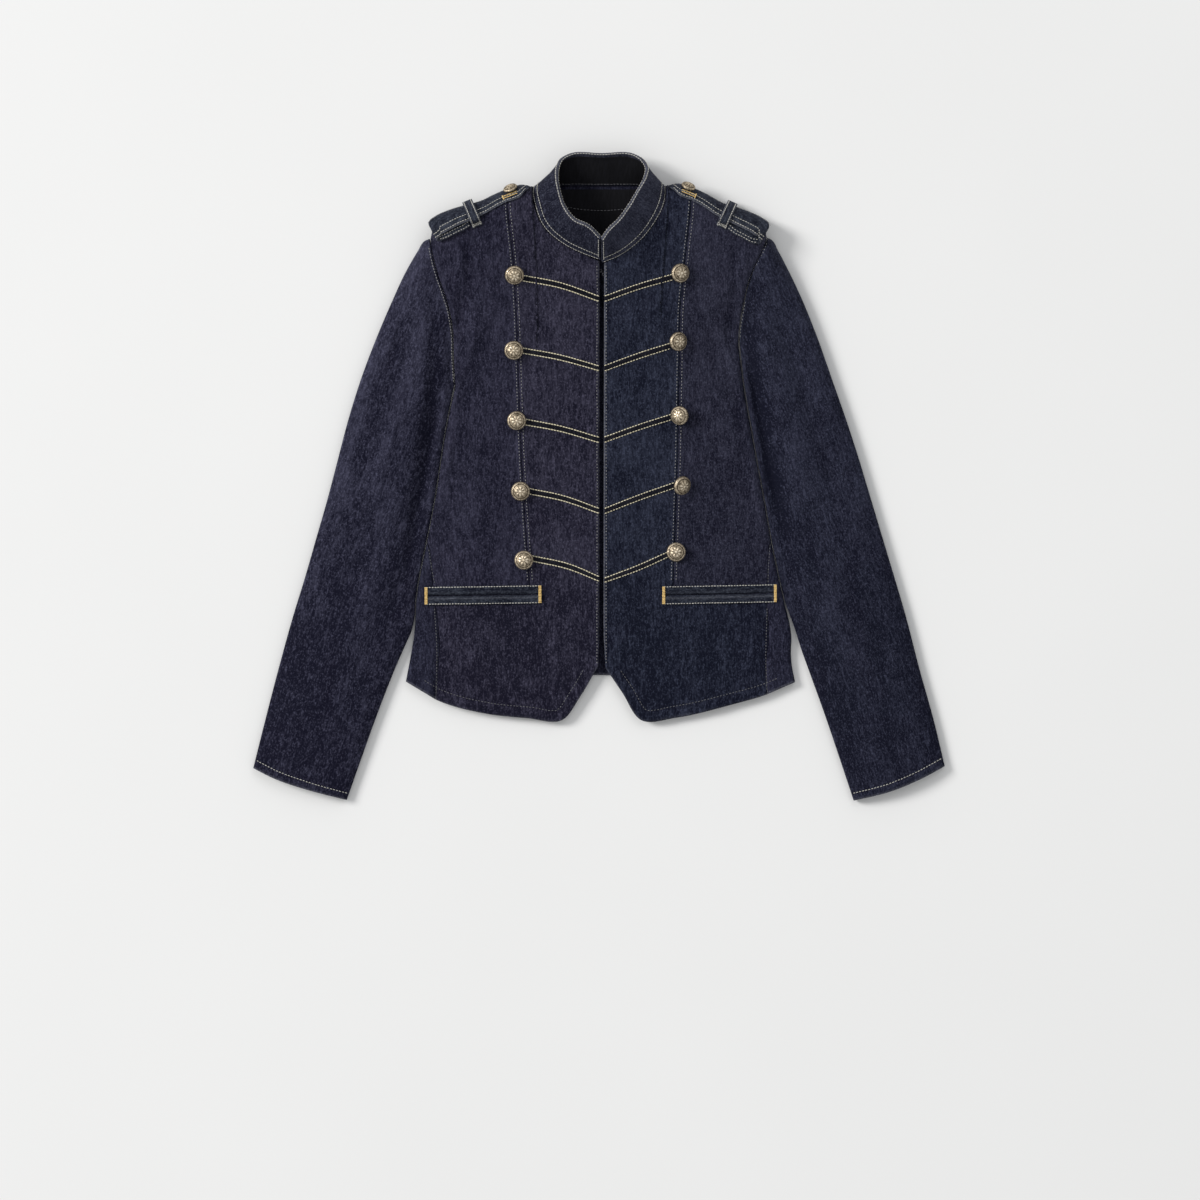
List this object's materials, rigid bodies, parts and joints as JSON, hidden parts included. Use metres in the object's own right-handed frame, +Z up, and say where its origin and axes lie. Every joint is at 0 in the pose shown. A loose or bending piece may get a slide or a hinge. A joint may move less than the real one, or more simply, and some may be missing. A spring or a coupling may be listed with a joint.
{
  "type": "cropped denim stand-collar jacket laid flat",
  "caption": "Cropped dark denim jacket with a stand collar, shoulder straps, domed buttons and welt pockets, laid flat on its back.",
  "frame": {"origin": "on the surface it rests on, under the middle of the laid-out jacket", "axes": "+X to the picture's right across both sleeves, +Y towards the collar, +Z up out of the front"},
  "size_m": [0.7394, 0.6928, 0.052],
  "materials": {
    "denim": "dark indigo cotton denim, matt, with slubs",
    "facing": "black cotton facing, matt",
    "brass": "antique brass, worn satin",
    "steel": "bright nickel wire"
  },
  "bodies": {
    "root": {"back": "denim", "front_centre_L": "denim", "front_side_L": "denim", "sleeve_L": "denim", "epaulette_L": "denim", "keeper_L": "denim", "welt_upper_L": "denim", "welt_lower_L": "denim", "front_centre_R": "denim", "front_side_R": "denim", "sleeve_R": "denim", "epaulette_R": "denim", "keeper_R": "denim", "welt_upper_R": "denim", "welt_lower_R": "denim", "collar": "denim", "collar_facing": "facing", "back_neck_facing": "facing", "button_L1": "brass", "button_L2": "brass", "button_L3": "brass", "button_L4": "brass", "button_L5": "brass", "button_R1": "brass", "button_R2": "brass", "button_R3": "brass", "button_R4": "brass", "button_R5": "brass", "button_strap_L": "brass", "button_strap_R": "brass", "hook": "steel", "eye": "steel"}
  },
  "joints": []
}
